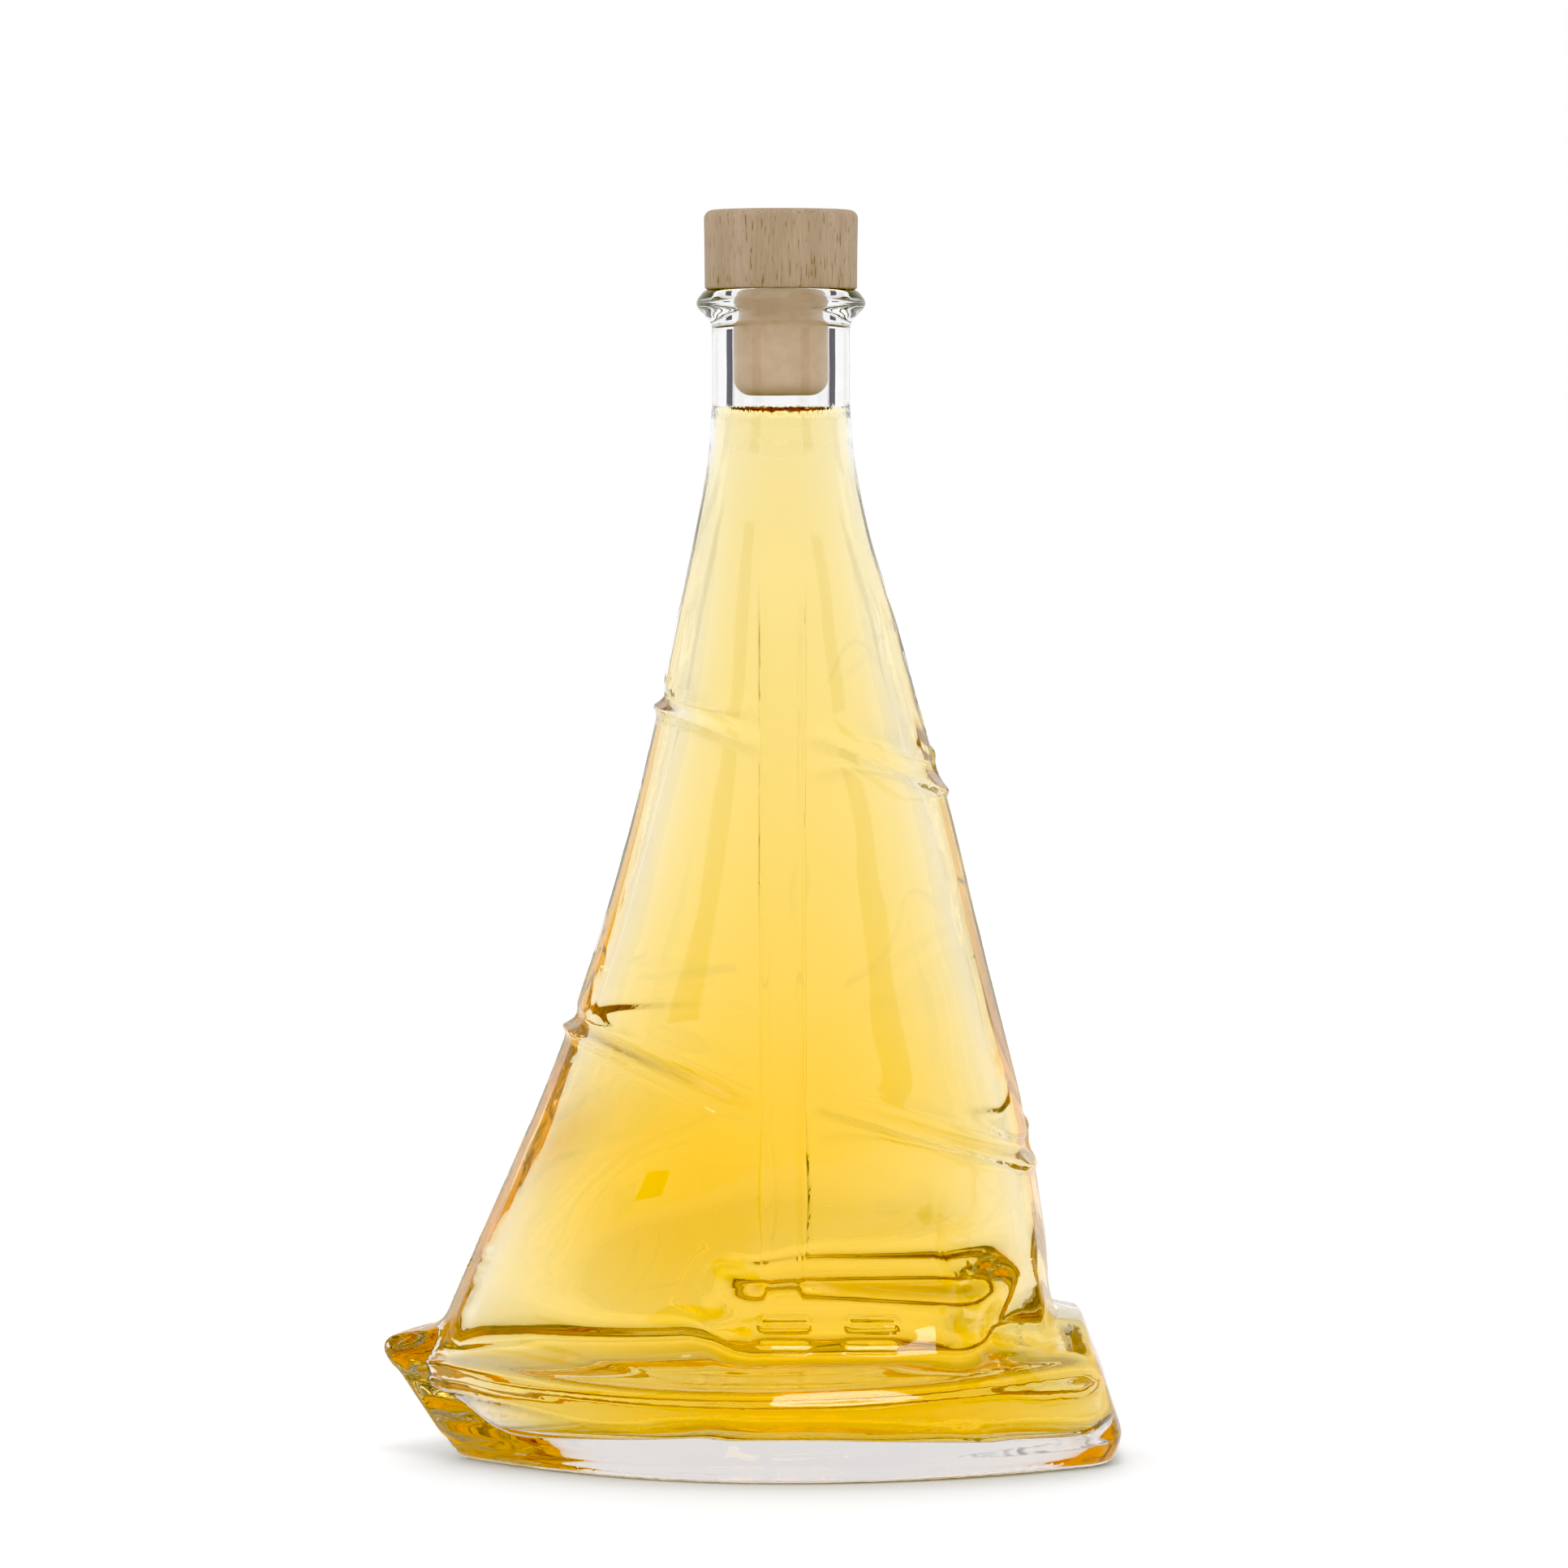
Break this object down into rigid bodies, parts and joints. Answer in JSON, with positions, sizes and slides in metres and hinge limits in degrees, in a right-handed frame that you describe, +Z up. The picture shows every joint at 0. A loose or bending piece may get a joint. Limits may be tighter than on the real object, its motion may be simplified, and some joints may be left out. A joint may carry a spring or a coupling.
{
  "type": "sailing boat shaped glass bottle",
  "caption": "Clear glass bottle shaped as a sailing boat with hull, cabin, mast and sails, filled with golden liqueur and closed by a wooden-headed stopper that pulls out.",
  "frame": {"origin": "on the neck's axis, in the plane of the base the bottle stands on", "axes": "+Z up along the neck, -X towards the bow, +X towards the transom, Y across the boat"},
  "size_m": [0.1463, 0.0726, 0.245],
  "materials": {
    "clear_glass": "gloss",
    "golden_liquid": "gloss",
    "synthetic_cork": "matte",
    "beech": "matte"
  },
  "bodies": {
    "bottle": {"glass_bottle": "clear_glass", "liquid": "golden_liquid"},
    "stopper": {"stopper_shank": "synthetic_cork", "stopper_head": "beech"}
  },
  "joints": [
    {"name": "stopper_pull", "type": "slide", "parent": "bottle", "child": "stopper", "axis": [0, 0, 1], "range_m": [0, 0.025]}
  ]
}
